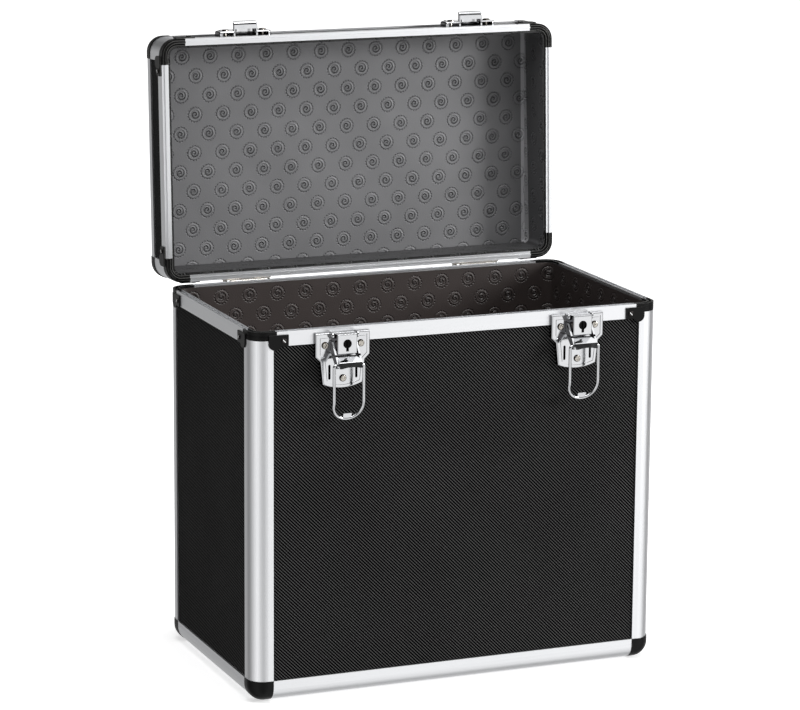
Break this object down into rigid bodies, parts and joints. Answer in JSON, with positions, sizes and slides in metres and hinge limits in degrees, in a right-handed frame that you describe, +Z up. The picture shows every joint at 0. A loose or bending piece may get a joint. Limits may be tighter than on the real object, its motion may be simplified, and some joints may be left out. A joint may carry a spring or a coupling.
{
  "type": "record carrying case",
  "caption": "Aluminium-framed carrying case for vinyl records: hinged lid, lined inside, key latches with wire bails, and a folding handle.",
  "frame": {"origin": "centre of the rectangle on the ground plane z = 0 that the body's four lower edge profiles stand on", "axes": "+X to the case's right, +Y to its back where the hinges are, +Z up"},
  "size_m": [0.358, 0.2971, 0.519],
  "materials": {
    "board": "plywood with a black textured laminate",
    "aluminium": "satin anodised extrusion",
    "black_plastic": "satin moulded ABS",
    "chrome": "bright plated steel",
    "zinc": "plated steel",
    "lining": "embossed foam sheet"
  },
  "bodies": {
    "body": {"body_front_panel": "board", "body_back_panel": "board", "body_left_panel": "board", "body_right_panel": "board", "body_bottom_panel": "board", "body_post_front_left": "aluminium", "body_post_front_right": "aluminium", "body_post_back_right": "aluminium", "body_post_back_left": "aluminium", "body_edge_front": "aluminium", "body_edge_back": "aluminium", "body_edge_left": "aluminium", "body_edge_right": "aluminium", "body_ball_corners": "black_plastic", "body_rim_front": "aluminium", "body_rim_back": "aluminium", "body_rim_left": "aluminium", "body_rim_right": "aluminium", "body_rim_corners": "black_plastic", "body_lining": "lining", "body_corner_screws": "zinc", "latch_plate_left": "chrome", "latch_plate_right": "chrome", "latch_pins": "chrome", "body_rivets": "chrome", "hinge_body_leaf_left": "zinc", "hinge_body_leaf_right": "zinc", "hinge_pins": "zinc"},
    "lid": {"lid_front_panel": "board", "lid_back_panel": "board", "lid_left_panel": "board", "lid_right_panel": "board", "lid_top_panel": "board", "lid_posts": "aluminium", "lid_edge_front": "aluminium", "lid_edge_back": "aluminium", "lid_edge_left": "aluminium", "lid_edge_right": "aluminium", "lid_ball_corners": "black_plastic", "lid_rim_front": "aluminium", "lid_rim_back": "aluminium", "lid_rim_left": "aluminium", "lid_rim_right": "aluminium", "lid_rim_corners": "black_plastic", "lid_lining": "lining", "lid_corner_screws": "zinc", "strike_left": "chrome", "strike_right": "chrome", "lid_rivets": "chrome", "hinge_lid_leaf_left": "zinc", "hinge_lid_leaf_right": "zinc", "handle_brackets": "chrome"},
    "lever_left": {"lever_left": "chrome"},
    "lever_right": {"lever_right": "chrome"},
    "lock_left": {"lock_core_left": "chrome"},
    "lock_right": {"lock_core_right": "chrome"},
    "bail_left": {"bail_left": "chrome"},
    "bail_right": {"bail_right": "chrome"},
    "handle": {"handle_rod": "chrome", "handle_grip": "black_plastic"}
  },
  "joints": [
    {"name": "lid_hinge", "type": "hinge", "parent": "body", "child": "lid", "pos_m": [0, 0.10425, 0.30145], "axis": [-1, 0, 0], "range_deg": [-92.6, 0]},
    {"name": "lever_left_pivot", "type": "hinge", "parent": "body", "child": "lever_left", "pos_m": [-0.102, -0.1085, 0.2982], "axis": [1, 0, 0], "range_deg": [-100, 0]},
    {"name": "bail_left_swing", "type": "hinge", "parent": "lever_left", "child": "bail_left", "pos_m": [-0.102, -0.1181, 0.2762], "axis": [-1, 0, 0], "range_deg": [-14, 198]},
    {"name": "lock_left_turn", "type": "hinge", "parent": "lever_left", "child": "lock_left", "pos_m": [-0.102, -0.1133, 0.2922], "axis": [0, -1, 0], "range_deg": [0, 90]},
    {"name": "lever_right_pivot", "type": "hinge", "parent": "body", "child": "lever_right", "pos_m": [0.102, -0.1085, 0.2982], "axis": [1, 0, 0], "range_deg": [-100, 0]},
    {"name": "bail_right_swing", "type": "hinge", "parent": "lever_right", "child": "bail_right", "pos_m": [0.102, -0.1181, 0.2762], "axis": [-1, 0, 0], "range_deg": [-14, 198]},
    {"name": "lock_right_turn", "type": "hinge", "parent": "lever_right", "child": "lock_right", "pos_m": [0.102, -0.1133, 0.2922], "axis": [0, -1, 0], "range_deg": [0, 90]},
    {"name": "handle_swing", "type": "hinge", "parent": "lid", "child": "handle", "pos_m": [0, 0.16747, 0.40294], "axis": [1, 0, 0], "range_deg": [-5, 175]}
  ]
}
